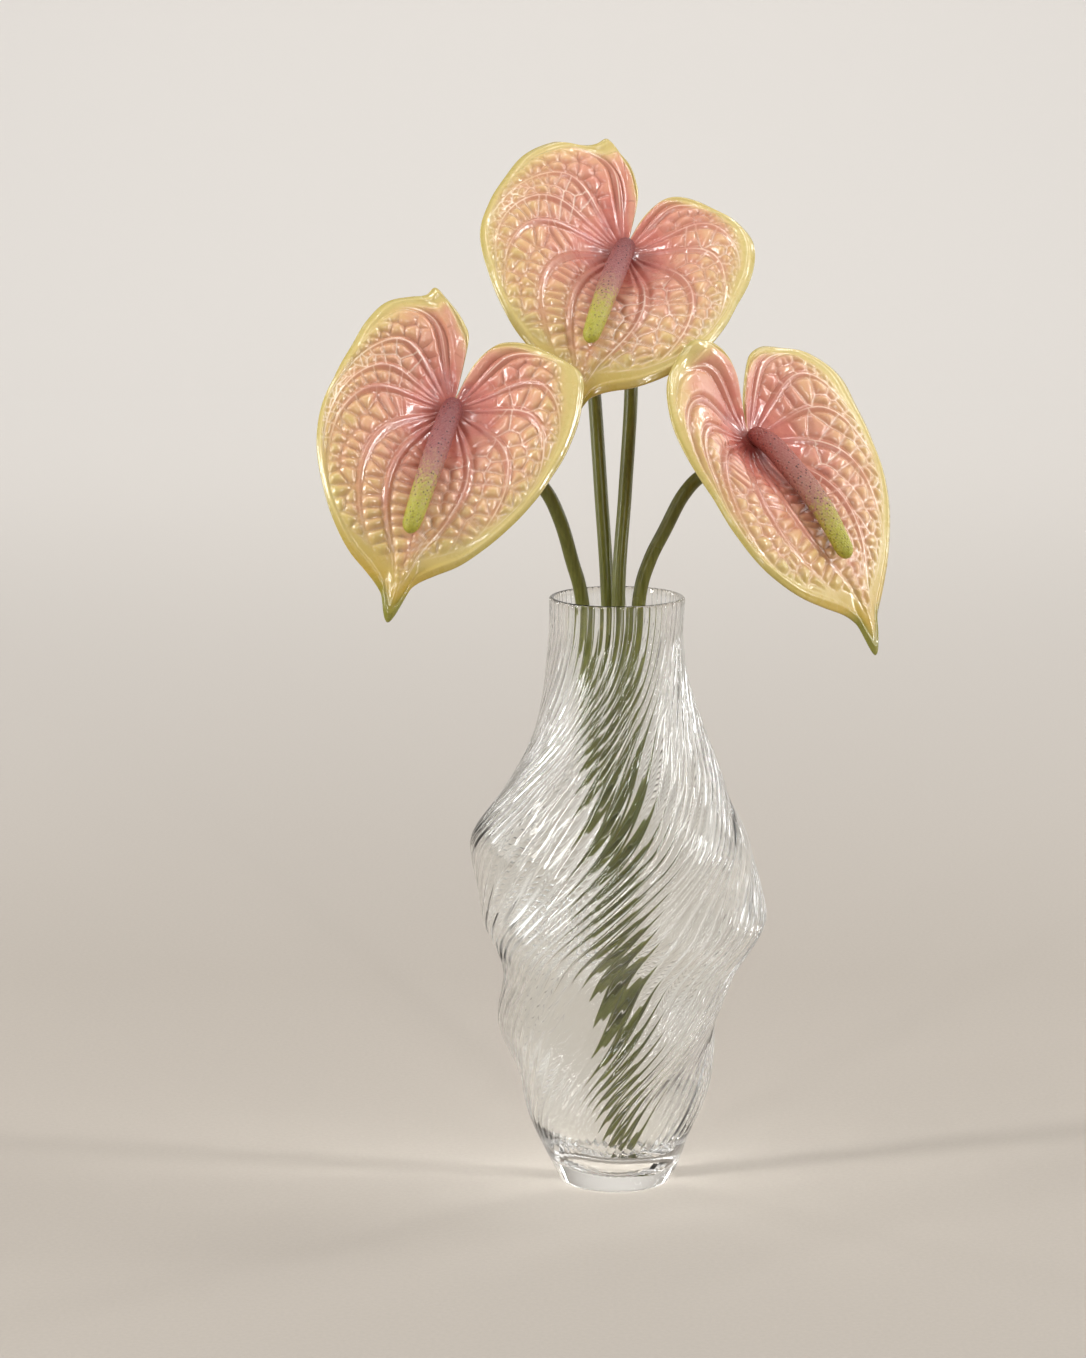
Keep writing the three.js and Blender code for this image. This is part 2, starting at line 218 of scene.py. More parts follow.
# How strong one vein or one cell may be beside another
VEIN_STRENGTHS = (0.6, 1.05)
CELL_STRENGTHS = (0.6, 1.15)
VEIN_ANGLES = [0, 37, 58, 70, 84, 97, 120, 135, 153, 175, 180]
VEIN_TURN = [1.05, 1.0, 0.72, 0.6, 0.47, 0.45, 0.38, 0.3, 0.15, 0.05, 0.04]
VEIN_POWER = [2.2, 2.2, 2.35, 2.6, 3.6, 4.4, 5.6, 6.2, 6.6, 7, 7]
VEIN_END = 0.9
ROLL_WIDTH = 2.4
DOME_REACH = 2.8
BLENDING = 1.5
LINE_WIDTH = 0.27
FOLDED_FROM = 140
LIP_INSET = 2.4
LIP_WIDTH = 1.3
LIP_HEIGHT = 0.7
FOLD_SPACING = 24.0
FOLD_HEIGHT = 0.3
KEEL_HEIGHT = 0.35
KEEL_WIDTH = 1.1
BORDER_DEPTH = 0.25
# The smooth band along the margin starts at this share of the way out, on each half
BAND_ANGLES = [0, 10, 25, 55, 85, 110, 135, 160, 180]
BAND_STARTS = {
    -1: [0.87, 0.92, 0.96, 0.97, 0.97, 0.95, 0.9, 0.88, 0.88],
    1: [0.87, 0.91, 0.92, 0.92, 0.9, 0.86, 0.87, 0.88, 0.88],
}

# How much the spadix root's blush is left at these shares of the way out, at the tip and in the lobes
BLUSH_STATIONS = [0, 0.08, 0.2, 0.4, 0.6, 0.8, 1]
TIP_BLUSH = [1, 0.92, 0.76, 0.54, 0.34, 0.16, 0]
LOBE_BLUSH = [1, 0.94, 0.82, 0.68, 0.56, 0.4, 0.12]

# How fine the meshes are: a blade is finer from FINE_FROM of the way out, where its cells are
COLUMNS_PER_RIB = 10
INNER_COLUMNS_FOR_TWO_RIBS = 3
WALL_RINGS = 140
INNER_RINGS = 87
COARSE_COLUMNS = 320
FINE_COLUMNS = 2 * COARSE_COLUMNS
FINE_FROM = 0.34
COARSE_RINGS = 40
FINE_RINGS = 93
BACK_RINGS = 60
SPADIX_STEPS = 46
SPADIX_RINGS = 220
SPADIX_SIDES = 96
STEM_STEPS = 14
STEM_SIDES = 32
YOUNG_RINGS = 90
YOUNG_SIDES = 128

# Stage, in metres, degrees and watts
BOARD_WIDTH = 12.0
BEND_START = 3.2
BEND_RADIUS = 1.5
BACKDROP_HEIGHT = 4.0
SKY_HEX = "#f4f1ee"
SKY_STRENGTH = 0.37
# Light crosses many walls of ribbed glass, and paths cut short would be black lines
BOUNCES = {"max_bounces": 16, "glossy_bounces": 8, "transmission_bounces": 16}
CAMERA_PLACE = (-0.0344, -2.078, 0.611)
CAMERA_PITCH = 79.9
CAMERA_LENS = 120.0
VASE_MIDDLE = (0, 0, 0.27)
BACKDROP_MIDDLE = (0, 4.2, 0.5)
# Each lamp: its name, its place, the point that it faces, its width and height, and its power.
# The cards stand behind the vase on both sides and brighten the edges of the glass.
LAMPS = [
    ("softbox_left", (-1.4, -0.5, 0.95), VASE_MIDDLE, (0.16, 1.3), 16),
    ("softbox_right", (1.4, -0.3, 0.8), VASE_MIDDLE, (0.12, 1.2), 12),
    ("strip_front_left", (-0.8, -1.5, 0.75), VASE_MIDDLE, (0.05, 1.1), 4),
    ("strip_front_right", (0.5, -1.6, 0.9), VASE_MIDDLE, (0.04, 1.0), 5),
    ("strip_back_right", (1.1, 0.9, 0.75), VASE_MIDDLE, (0.08, 1.1), 3),
    ("strip_back_left", (-1.1, 0.9, 0.75), VASE_MIDDLE, (0.08, 1.1), 3),
    ("overhead_left", (-0.45, -0.25, 1.6), VASE_MIDDLE, (0.05, 0.6), 2.8),
    ("overhead_middle", (0.15, 0.15, 1.6), VASE_MIDDLE, (0.035, 0.6), 1.8),
    ("overhead_right", (1.0, 0.1, 1.5), VASE_MIDDLE, (0.1, 0.5), 3.5),
    ("card_left", (-2.2, 0.6, 0.6), VASE_MIDDLE, (1.0, 1.6), 7),
    ("card_right", (2.2, 0.6, 0.6), VASE_MIDDLE, (1.0, 1.6), 7),
    ("backdrop", (0, 1.6, 2.4), BACKDROP_MIDDLE, (5, 0.8), 70),
]


# Helpers

def curve_through(xs, ys):
    """A smooth curve through the given points that never overshoots them."""
    xs = np.asarray(xs, float)
    ys = np.asarray(ys, float)
    widths = np.diff(xs)
    slopes = np.diff(ys) / widths
    tangents = np.zeros(len(xs))
    for i in range(1, len(xs) - 1):
        if slopes[i - 1] * slopes[i] > 0:
            before = 2 * widths[i] + widths[i - 1]
            after = widths[i] + 2 * widths[i - 1]
            tangents[i] = (before + after) / (before / slopes[i - 1] + after / slopes[i])
    tangents[0] = slopes[0]
    tangents[-1] = slopes[-1]

    def value(x):
        x = np.asarray(x, float)
        i = np.clip(np.searchsorted(xs, x) - 1, 0, len(widths) - 1)
        t = np.clip((x - xs[i]) / widths[i], 0, 1)
        rest = 1 - t
        ends = ys[i] * rest**2 * (1 + 2 * t) + ys[i + 1] * t**2 * (3 - 2 * t)
        return ends + widths[i] * t * rest * (tangents[i] * rest - tangents[i + 1] * t)

    return value


def smooth_step(low, high, x):
    """0 below low, 1 above high, and a soft rise between them. It falls where high is below low."""
    t = np.clip((x - low) / (high - low), 0, 1)
    return t * t * (3 - 2 * t)


def bell(x, width):
    """1 at 0, and a soft fall on both sides."""
    return np.exp(-((x / width) ** 2))


def linear(hex_colour):
    """An sRGB hex colour as linear red, green, blue and alpha."""
    parts = [int(hex_colour[i : i + 2], 16) / 255 for i in (1, 3, 5)]
    values = [part / 12.92 if part <= 0.04045 else ((part + 0.055) / 1.055) ** 2.4 for part in parts]
    return (*values, 1.0)


def ring_faces(rings, columns, first=0):
    """Four-sided faces between neighbouring closed rings of points."""
    i, j = np.meshgrid(np.arange(rings - 1), np.arange(columns), indexing="ij")
    after = (j + 1) % columns
    corners = [i * columns + j, i * columns + after, (i + 1) * columns + after, (i + 1) * columns + j]
    return (np.stack(corners, -1).reshape(-1, 4) + first).tolist()


def fan_faces(columns, first, centre, turned=False):
    """Triangles from a ring of points to its centre."""
    faces = [[first + j, first + (j + 1) % columns, centre] for j in range(columns)]
    return [face[::-1] for face in faces] if turned else faces


def add_object(name, data):
    """Puts an object with the given mesh, lamp or camera into the scene."""
    added = bpy.data.objects.new(name, data)
    bpy.context.scene.collection.objects.link(added)
    return added


def add_piece(name, points, faces, material, values=None):
    """A smooth mesh object from points in millimetres, with its named values at each point."""
    mesh = bpy.data.meshes.new(name)
    mesh.from_pydata((np.asarray(points) * MM).tolist(), [], faces)
    mesh.update()
    if mesh.validate():
        raise RuntimeError(f"{name} has faces that don't hold together")
    mesh.shade_smooth()
    for key, numbers in (values or {}).items():
        attribute = mesh.attributes.new(key, "FLOAT", "POINT")
        attribute.data.foreach_set("value", np.asarray(numbers, np.float32).ravel())
    mesh.materials.append(material)
    return add_object(name, mesh)


def stand_for(piece, node):
    """The piece takes the place of a CAD node."""
    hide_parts(node)
    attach(piece, "root")


def turning(axis, degrees):
    """The rotation matrix about one axis."""
    c = math.cos(math.radians(degrees))
    s = math.sin(math.radians(degrees))
    if axis == "x":
        return np.array([[1, 0, 0], [0, c, -s], [0, s, c]])
    if axis == "y":
        return np.array([[c, 0, s], [0, 1, 0], [-s, 0, c]])
    return np.array([[c, -s, 0], [s, c, 0], [0, 0, 1]])


def head_axes(flower):
    """The axes of a flower's head: its right, the way from its tip to its root, and its front."""
    facing = turning("x", 90 - FACING_LEAN) @ turning("z", flower["spin"])
    return facing @ turning("x", -flower["lean"]) @ turning("y", flower["turn"])


def on_head(flower, points):
    """Points in a flower's own axes, placed in the vase's."""
    return np.asarray(points) @ head_axes(flower).T + np.array(flower["root"], float)


def spline(points, steps):
    """Points on a centripetal Catmull-Rom curve through the given points, so many steps to each."""
    points = np.asarray(points, float)
    ends = [2 * points[0] - points[1], *points, 2 * points[-1] - points[-2]]
    found = []
    for i in range(1, len(ends) - 2):
        before, start, end, after = ends[i - 1 : i + 3]
        gaps = [np.linalg.norm(b - a) ** 0.5 for a, b in ((before, start), (start, end), (end, after))]
        first = ((start - before) / gaps[0] - (end - before) / (gaps[0] + gaps[1]) + (end - start) / gaps[1])
        last = ((end - start) / gaps[1] - (after - start) / (gaps[1] + gaps[2]) + (after - end) / gaps[2])
        first *= gaps[1]
        last *= gaps[1]
        t = np.linspace(0, 1, steps, endpoint=False)[:, None]
        rise = 2 * (start - end) + first + last
        bend = -3 * (start - end) - 2 * first - last
        found.append(((rise * t + bend) * t + first) * t + start)
    return np.concatenate([*found, points[-1:]])


def bar_points(path, radius_at, sides):
    """Rings of points about a path, without twist. Radius_at takes the share along and the angles."""
    tangents = np.gradient(path, axis=0)
    tangents /= np.linalg.norm(tangents, axis=1)[:, None]
    angles = np.linspace(0, 2 * np.pi, sides, endpoint=False)
    across = np.array([1.0, 0, 0])
    rings = []
    for i, (point, tangent) in enumerate(zip(path, tangents)):
        across = across - across.dot(tangent) * tangent
        across /= np.linalg.norm(across)
        other = np.cross(tangent, across)
        radius = radius_at(i / (len(path) - 1), angles)[:, None]
        turned = np.cos(angles)[:, None] * across + np.sin(angles)[:, None] * other
        rings.append(point + radius * turned)
    return np.array(rings)


def add_bar(name, rings, material, values=None):
    """A closed bar from its rings of points, with a flat or pointed cap at each end."""
    count, sides, _ = rings.shape
    points = np.concatenate([rings.reshape(-1, 3), rings[:1].mean(1), rings[-1:].mean(1)])
    faces = ring_faces(count, sides)
    faces += fan_faces(sides, 0, count * sides, turned=True)
    faces += fan_faces(sides, (count - 1) * sides, count * sides + 1)
    if values:
        caps = {key: [grid[0].mean(), grid[-1].mean()] for key, grid in values.items()}
        values = {key: np.append(grid.ravel(), caps[key]) for key, grid in values.items()}
    return add_piece(name, points, faces, material, values)


# Materials

def fill(tree, socket, value):
    """Gives a socket another node's output, an sRGB hex colour or a plain value."""
    if isinstance(value, bpy.types.NodeSocket):
        tree.links.new(value, socket)
    elif isinstance(value, str):
        socket.default_value = linear(value)
    else:
        socket.default_value = value


def set_stops(elements, stops):
    """Gives a colour ramp its stops, which are pairs of a place and a hex colour."""
    while len(elements) < len(stops):
        elements.new(0.5)
    for element, (place, colour) in zip(elements, stops):
        element.position = place
        element.color = linear(colour)


def add_node(tree, kind, *inputs, output=None, **settings):
    """Adds a shader node and gives back the output of that name, or else its first one.

    Inputs fill its sockets in their order. A setting is one of its properties, or a socket by name.
    """
    node = tree.nodes.new(f"ShaderNode{kind}")
    for key, value in settings.items():
        if key == "stops":
            set_stops(node.color_ramp.elements, value)
        elif hasattr(node, key):
            setattr(node, key, value)
        else:
            fill(tree, node.inputs[key.replace("_", " ")], value)
    for socket, value in zip([socket for socket in node.inputs if socket.enabled], inputs):
        fill(tree, socket, value)
    return node.outputs[output] if output else next(socket for socket in node.outputs if socket.enabled)


def soft_spots(add, size_mm, detail=2.0, stretch=(1, 1, 1)):
    """A soft pattern whose spots are about as wide as the given size."""
    place = add("TexCoord", output="Object")
    stretched = add("Mapping", place, Scale=stretch)
    return add("TexNoise", stretched, Scale=1 / (size_mm * MM), Detail=detail)


def new_material(name):
    """A plain node material, and the function that adds a node to it."""
    material = bpy.data.materials.new(name)
    material.use_nodes = True
    return material, partial(add_node, material.node_tree)


def finish(material, **values):
    """Sets or links the shader's own sockets, with an underscore for each space in their names."""
    tree = material.node_tree
    for key, value in values.items():
        fill(tree, tree.nodes["Principled BSDF"].inputs[key.replace("_", " ")], value)
    return material


def clear_glass():
    """Clear soda-lime glass, mould-blown: sharp gloss, no colour, seams of the ribs melted round."""
    material, add = new_material("clear_soda_lime_glass")
    # Blown glass isn't quite even: low waves about 30 mm long, far too shallow to see as shape
    waves = soft_spots(add, 30.0, 1.0)
    return finish(
        material,
        Base_Color="#fdfefd",
        Transmission_Weight=1.0,
        IOR=1.5,
        Roughness=0.0,
        Normal=add("Bump", Height=waves, Strength=0.15, Distance=0.5 * MM),
    )


def waxy_blade(settings):
    """Living spathe with a thick waxy skin: puffed cells shine like lacquer and light soaks in a little."""
    material, add = new_material("waxy_spathe_skin")
    names = ("blush", "roll", "hollow", "rim", "edge", "tip", "net")
    stored = {name: add("Attribute", output="Fac", attribute_name=name) for name in names}
    # From the yellow margin to the rosy root, mottled in spots about 9 mm wide
    mottle = add("MapRange", soft_spots(add, 9.0, 3.0), 0.3, 0.7, -0.1, 0.1)
    shifted = add("Math", stored["blush"], mottle, operation="ADD")
    skin = [(0.0, "#cab06c"), (0.22, "#d9ae7d"), (0.45, "#d89b80"), (0.7, "#cc7a6a"), (1.0, "#8f403a")]
    colour = add("ValToRGB", shifted, stops=skin)
    # The tip is yellow, and only its cusp is green
    cusp = add("MapRange", stored["tip"], 0.8, 1.0)
    tip = add("Mix", cusp, "#b8962e", "#7f7c22", data_type="RGBA")
    # The net is plain in some stretches about 25 mm wide and faint in others
    plain = add("MapRange", soft_spots(add, 25.0, 1.0), 0.4, 0.6, 0.25, 0.85)
    # Each layer lies over the ones before it: where it is, how strongly it shows, and its colour.
    # The skin is rosier on raised veins, and the borders of the cells are darkened with painted shade.
    layers = (
        ("roll", 0.6, "#c67a72"),
        ("hollow", 0.45, "#a9694a"),
        ("rim", 1.0, settings.margin_hex),
        ("edge", 0.6, "#a5933a"),
        ("tip", 1.0, tip),
        ("net", plain, settings.net_hex),
    )
    for name, strength, layer_colour in layers:
        share = add("Math", stored[name], strength, operation="MULTIPLY")
        colour = add("Mix", share, colour, layer_colour, data_type="RGBA")
    # The gloss is broken by faint dull patches about 4 mm wide
    dullness = add("MapRange", soft_spots(add, 4.0, 4.0), 0.3, 0.7, 0.22, 0.36)
    # The skin is gently hammered, in dents about 2.5 mm wide, and the net stands a little proud
    proud = add("Math", stored["net"], 0.6, operation="MULTIPLY")
    height = add("Math", proud, soft_spots(add, 2.5, 2.0), operation="ADD")
    bump = add("Bump", Height=height, Strength=0.4, Distance=0.25 * MM)
    return finish(
        material,
        Base_Color=colour,
        Roughness=dullness,
        Normal=bump,
        Coat_Normal=bump,
        IOR=1.45,
        Subsurface_Weight=0.06,
        Subsurface_Radius=(1.0, 0.5, 0.25),
        Subsurface_Scale=1.5 * MM,
        Coat_Weight=1.0,
        Coat_Roughness=0.06,
    )


def beaded_spadix(name, root, middle, speck):
    """Fleshy spadix packed with tiny florets: dull, finely beaded, mauve that turns yellow-green."""
    material, add = new_material(name)
    along = add("Attribute", output="Fac", attribute_name="along")
    crease = add("Attribute", output="Fac", attribute_name="crease")
    # From the root to the tip, mottled in spots about as wide as a floret
    mottle = add("MapRange", soft_spots(add, 1.6, 3.0), 0.3, 0.7, -0.1, 0.1)
    turned = add("Math", along, mottle, operation="ADD")
    yellow_end = [(0.62, "#a97c68"), (0.72, "#b09e56"), (0.86, "#b0ab42"), (1.0, "#a29c34")]
    flesh = add("ValToRGB", turned, stops=[(0.0, root), (0.45, middle), *yellow_end])
    # Painted shade darkens the creases between the florets
    painted_shade = add("Math", crease, 0.16, operation="MULTIPLY")
    beads = add("Mix", painted_shade, flesh, "#7d4d58", data_type="RGBA")
    # Dark styles, about one on every second floret, 0.8 mm wide and 1.7 mm apart
    place = add("TexCoord", output="Object")
    spots = add("TexVoronoi", place, 1 / (1.7 * MM), Randomness=0.7)
    near = add("MapRange", spots, 0.2, 0.34, 0.95, 0.0)
    few = add("MapRange", spots.node.outputs["Color"], 0.3, 0.5)
    fading = add("MapRange", along, 0.45, 0.95, 1.0, 0.45)
    dotted = add("Math", near, few, operation="MULTIPLY")
    shown = add("Math", dotted, fading, operation="MULTIPLY")
    grain = soft_spots(add, 1.1, 2.0)
    return finish(
        material,
        Base_Color=add("Mix", shown, beads, speck, data_type="RGBA"),
        Roughness=0.34,
        IOR=1.45,
        Subsurface_Weight=0.08,
        Subsurface_Scale=1.0 * MM,
        Normal=add("Bump", Height=grain, Strength=0.9, Distance=0.7 * MM),
    )


def stem_skin(settings):
    """Smooth green stem with a thin cuticle: olive, a satin shine along it, faint long streaks."""
    material, add = new_material("olive_stem_skin")
    # Fibres under the skin: streaks about 1 mm wide that run up the stem
    streaks = soft_spots(add, 1.0, 3.0, (1, 1, 0.04))
    striped = add("MapRange", streaks, 0.35, 0.65)
    green = add("Mix", striped, settings.stem_hex, "#6a6a2a", data_type="RGBA")
    patches = soft_spots(add, 40.0, 1.0)
    patch_darkening = add("MapRange", patches, 0.35, 0.7, 0.0, 0.4)
    skin = add("Mix", patch_darkening, green, "#4c4e18", data_type="RGBA")
    # Inside the vase the stem is darkened with painted shade, in place of the shadow that the glass doesn't
    # cast
    place = add("TexCoord", output="Object")
    height = add("SeparateXYZ", place, output="Z")
    mouth = VASE_HEIGHTS[-1] * MM
    painted_shade = add("MapRange", height, mouth - 60 * MM, mouth, 0.6, 0.0)
    return finish(
        material,
        Base_Color=add("Mix", painted_shade, skin, "#34350f", data_type="RGBA"),
        Roughness=add("MapRange", patches, 0.3, 0.7, 0.26, 0.34),
        IOR=1.42,
        Subsurface_Weight=0.05,
        Subsurface_Scale=1.0 * MM,
        Normal=add("Bump", Height=streaks, Strength=0.2, Distance=0.15 * MM),
    )


def young_skin():
    """Spathe that is still rolled up: smooth, waxy and green, with rose on its folded edge."""
    material, add = new_material("young_spathe_skin")
    # Veins of the rolled blade: streaks about 2 mm wide along the bud
    streaks = soft_spots(add, 2.0, 3.0, (1, 1, 0.08))
    striped = add("MapRange", streaks, 0.35, 0.65)
    green = add("Mix", striped, "#9aa35a", "#b3a868", data_type="RGBA")
    fold = add("Attribute", output="Fac", attribute_name="fold")
    return finish(
        material,
        Base_Color=add("Mix", fold, green, "#c4816f", data_type="RGBA"),
        Roughness=add("MapRange", streaks, 0.3, 0.7, 0.28, 0.36),
        IOR=1.45,
        Subsurface_Weight=0.1,
        Subsurface_Scale=1.5 * MM,
        Normal=add("Bump", Height=streaks, Strength=0.3, Distance=0.25 * MM),
    )


def matt_floor(settings):
    """Painted board, rolled matt: pale and even, with a faint tooth from the roller; painted light makes it
    paler towards the backdrop.
    """
    material, add = new_material("matt_painted_board")
    # A roller leaves a tooth about 2 mm wide
    tooth = add("MapRange", soft_spots(add, 2.0, 2.0), 0.3, 0.7, 0.0, 0.5)
    near = add("Mix", tooth, settings.floor_hex, "#b2aaa0", data_type="RGBA")
    # Painted light: the board is painted paler towards the backdrop, standing in for light on the far floor
    place = add("TexCoord", output="Object")
    depth = add("SeparateXYZ", place, output="Y")
    paler = add("MapRange", depth, 0.4, BEND_START)
    colour = add("Mix", paler, near, "#e9e5e0", data_type="RGBA")
    return finish(material, Base_Color=colour, Roughness=0.75)


# Vase

def lobed_radius(height, angle):
    """The vase's radius before its ribs, at heights in millimetres and angles in radians."""
    phase = LOBES * (angle - np.radians(LOBE_START + LOBE_TWIST * height))
    wave = np.cos(phase) + LOBE_SHARPNESS * np.cos(2 * phase)
    depth = curve_through(LOBE_HEIGHTS, LOBE_DEPTHS)(height)
    return curve_through(VASE_HEIGHTS, VASE_RADII)(height) + depth * wave


def rib_shift(height):
    """How far the ribs have wound at a height, in radians. They stand upright at the mouth."""
    past = np.clip(height - RIB_UPRIGHT_FROM, 0, RIB_UPRIGHT_OVER)
    wound = np.minimum(height, RIB_UPRIGHT_FROM) + past - past**2 / (2 * RIB_UPRIGHT_OVER)
    return np.radians(RIB_TWIST * wound)


def rib_angles(height, around):
    """Where ribs that are even at the base stand at a height. They bunch on the crests of the lobes."""
    angles = np.radians(np.linspace(-60, 420, 961))
    share = curve_through(BUNCH_HEIGHTS, BUNCH_SHARES)(height)
    phase = LOBES * (angles - np.radians(LOBE_START + LOBE_TWIST * height))
    evened = angles + share / LOBES * np.sin(phase)
    return np.interp((around + rib_shift(height)) % (2 * np.pi), evened, angles)


def waves_round(waves, around, start=0):
    """The sum of a start value and of waves that go round the vase."""
    return sum((size * np.sin(count * around + phase) for size, count, phase in waves), start)


def rib_relief(height, around, ribs):
    """The ribs' height: rounded flutes of slightly uneven width and depth, as blown into a mould."""
    depth = waves_round(RIB_DEPTH_WAVES, around, 1)
    turn = (ribs * around + waves_round(RIB_SPACING_WAVES, around)) / 2
    flute = np.abs(np.cos(turn)) ** RIB_ROUNDNESS - 0.6
    crease = RIB_CREASE * np.cos(4 * turn + 0.6 * np.sin(7 * around))
    return curve_through(RIB_HEIGHTS, RIB_DEPTHS)(height) * depth * (flute - crease)


def level_ring(radius, angle, height):
    """Points at one height, from the radius and the angle of each."""
    return np.stack([radius * np.cos(angle), radius * np.sin(angle), np.full(len(angle), height)], -1)


def vase_points(settings):
    """Rings of points up the outside and over the rim, and rings down the inside to the glass floor."""
    top = settings.height / MM
    wall = settings.wall / MM
    around = np.linspace(0, 2 * np.pi, COLUMNS_PER_RIB * settings.ribs, endpoint=False)
    # The underside is slightly hollow, as blown glass is, and stands on the ring round the hollow
    hollow = [(HOLLOW_RADIUS * share, HOLLOW_DEPTH * (1 - share**2)) for share in HOLLOW_SHARES]
    rings = [level_ring(radius, around, lift) for radius, lift in [*hollow, (BASE_RADIUS, 0)]]

    def outside(height, inset=0.0):
        angle = rib_angles(height, around)
        radius = lobed_radius(height, angle) + rib_relief(height, around, settings.ribs) - inset
        rings.append(level_ring(radius, angle, height))

    for turn in np.radians([20, 40, 60, 80]):
        outside(HEEL_RADIUS * (1 - math.cos(turn)), HEEL_RADIUS * (1 - math.sin(turn)))
    for height in np.linspace(BODY_START, top - RIM_RADIUS, WALL_RINGS):
        outside(height)
    for turn in np.radians([30, 60, 90]):
        outside(top - RIM_RADIUS * (1 - math.sin(turn)), RIM_RADIUS * (1 - math.cos(turn)))
    inner = INNER_COLUMNS_FOR_TWO_RIBS * settings.ribs // 2
    inner_around = np.linspace(0, 2 * np.pi, inner, endpoint=False)
    inner_rings = []

    def inside(height, inset=0.0):
        thick = wall + THICK_FOOT * np.clip(1 - height / THICK_FOOT_HEIGHT, 0, 1)
        angle = rib_angles(height, inner_around)
        inner_rings.append(level_ring(lobed_radius(height, angle) - thick - inset, angle, height))

    for turn in np.radians([60, 30, 0]):
        inside(top - RIM_RADIUS * (1 - math.sin(turn)), RIM_RADIUS * (math.cos(turn) - 1))
    for height in np.linspace(top - RIM_RADIUS, GLASS_FLOOR + FLOOR_CORNER, INNER_RINGS)[1:]:
        inside(height)
    for turn in np.radians([15, 30, 45, 60, 75, 90]):
        inside(GLASS_FLOOR + FLOOR_CORNER * (1 - math.sin(turn)), FLOOR_CORNER * (1 - math.cos(turn)))
    return np.array(rings), np.array(inner_rings)


def bridge_faces(many, few, outer_first, inner_first):
    """Faces that join a ring of many points to a ring of few."""
    faces = []
    done = 0
    for j in range(many):
        start = outer_first + j
        end = outer_first + (j + 1) % many
        faces.append([start, end, inner_first + done % few])
        if (done + 0.5) * many <= (j + 1) * few:
            faces.append([end, inner_first + (done + 1) % few, inner_first + done % few])
            done += 1
    return faces


# Blades

def vein_angle(start, out):
    """The angle from the tip, in degrees, of a vein that started at an angle, at a share of the way out."""
    turn = curve_through(VEIN_ANGLES, VEIN_TURN)(start)
    power = curve_through(VEIN_ANGLES, VEIN_POWER)(start)
    return start * (1 - turn * (out / VEIN_END) ** power)


class BladeForm:
    """A blade's outline and middle surface in its flower's own axes: x to its right, -y to its tip."""

    def __init__(self, flower):
        reaches = [*flower["left"][::-1], *flower["right"][1:], NOTCH_REACH]
        angles = [-angle for angle in OUTLINE_ANGLES[::-1]] + OUTLINE_ANGLES[1:] + [180]
        self.reach_at = curve_through([-180, *angles], [NOTCH_REACH, *reaches])
        self.notch_lift = flower["notch_lift"]

    def column_angle(self, end, along):
        """The angle from the tip, in degrees, that the column which ends at an angle has on its way out."""
        # Columns bend towards the notch on their way in, but not those beside it, or they would cross
        bend = COLUMN_BEND * smooth_step(STRAIGHT_AT, STRAIGHT_FROM, np.abs(end))
        return end + bend * np.sin(np.radians(end)) * (1 - along**2)

    def place(self, end, along):
        """Flat coordinates of the point a share along the column that ends at an angle."""
        reach = self.reach_at(end)
        distance = SEAT_RADIUS + (reach - SEAT_RADIUS) * along
        angle = np.radians(self.column_angle(end, along))
        return distance * np.sin(angle), -distance * np.cos(angle), reach, angle

    def height(self, x, y, reach, end, along):
        """Height of the smooth middle surface."""
        distance = np.hypot(x, y)
        from_notch = 180 - np.abs(np.degrees(np.arctan2(x, -y)))
        out = np.maximum(distance - SEAT_RADIUS, 0)
        funnel = FUNNEL_DEPTH * (1 - bell(out, FUNNEL_RADIUS))
        sides = SIDE_SLOPE * (np.hypot(x, SIDE_ROUNDING) - SIDE_ROUNDING) * np.minimum(out / SIDE_START, 1)
        curl = MARGIN_CURL * (distance / reach) ** 5 * np.minimum(reach / FULL_CURL_REACH, 1) ** 2
        droop = TIP_DROOP * (np.maximum(-y - DROOP_START, 0) / DROOP_LENGTH) ** 2
        notch = self.notch_lift * bell(from_notch, NOTCH_SPREAD) * np.minimum(out / NOTCH_START, 1)
        pinch = PINCH_HEIGHT * bell(end - PINCH_ANGLE, PINCH_SPREAD) * along**6
        return funnel + sides + notch - curl - droop + pinch

    def on_vein(self, side, start, out):
        """Flat coordinates on the vein of one half that started at an angle, at a share of the way out."""
        ends = np.linspace(0, 180, 361)
        angle = max(vein_angle(start, out), 0.0)
        end = side * np.interp(angle, self.column_angle(ends, out), ends)
        x, y, _, _ = self.place(end, out)
        return np.array([float(x), float(y)])


def cell_seeds(form, side, inner, outer, chance, cell):
    """Centres of the cells between two veins, walking outwards, in one to three staggered rows."""
    seeds = []
    widths = RUNG_WIDTHS if inner < RUNGS_BELOW else ROW_WIDTHS
    middle = 0.5 * (inner + outer)
    out = CELLS_FROM
    while out < CELLS_TO:
        width = np.linalg.norm(form.on_vein(side, outer, out) - form.on_vein(side, inner, out))
        rows = int(np.clip(round(width / (widths[side] * cell)), 1, 3))
        for row in range(rows):
            across = (row + 0.5) / rows + chance.uniform(-ROW_SCATTER, ROW_SCATTER)
            ahead = (0.5 * (row % 2) + chance.uniform(-CELL_SCATTER, CELL_SCATTER)) * cell
            start = inner + (outer - inner) * across
            seeds.append(form.on_vein(side, start, min(out + ahead / MEAN_REACH, LAST_CELL)))
        step = form.on_vein(side, middle, out + CELL_STEP) - form.on_vein(side, middle, out)
        out += CELL_STEP * cell / max(np.linalg.norm(step), 0.2)
    return np.array(seeds)


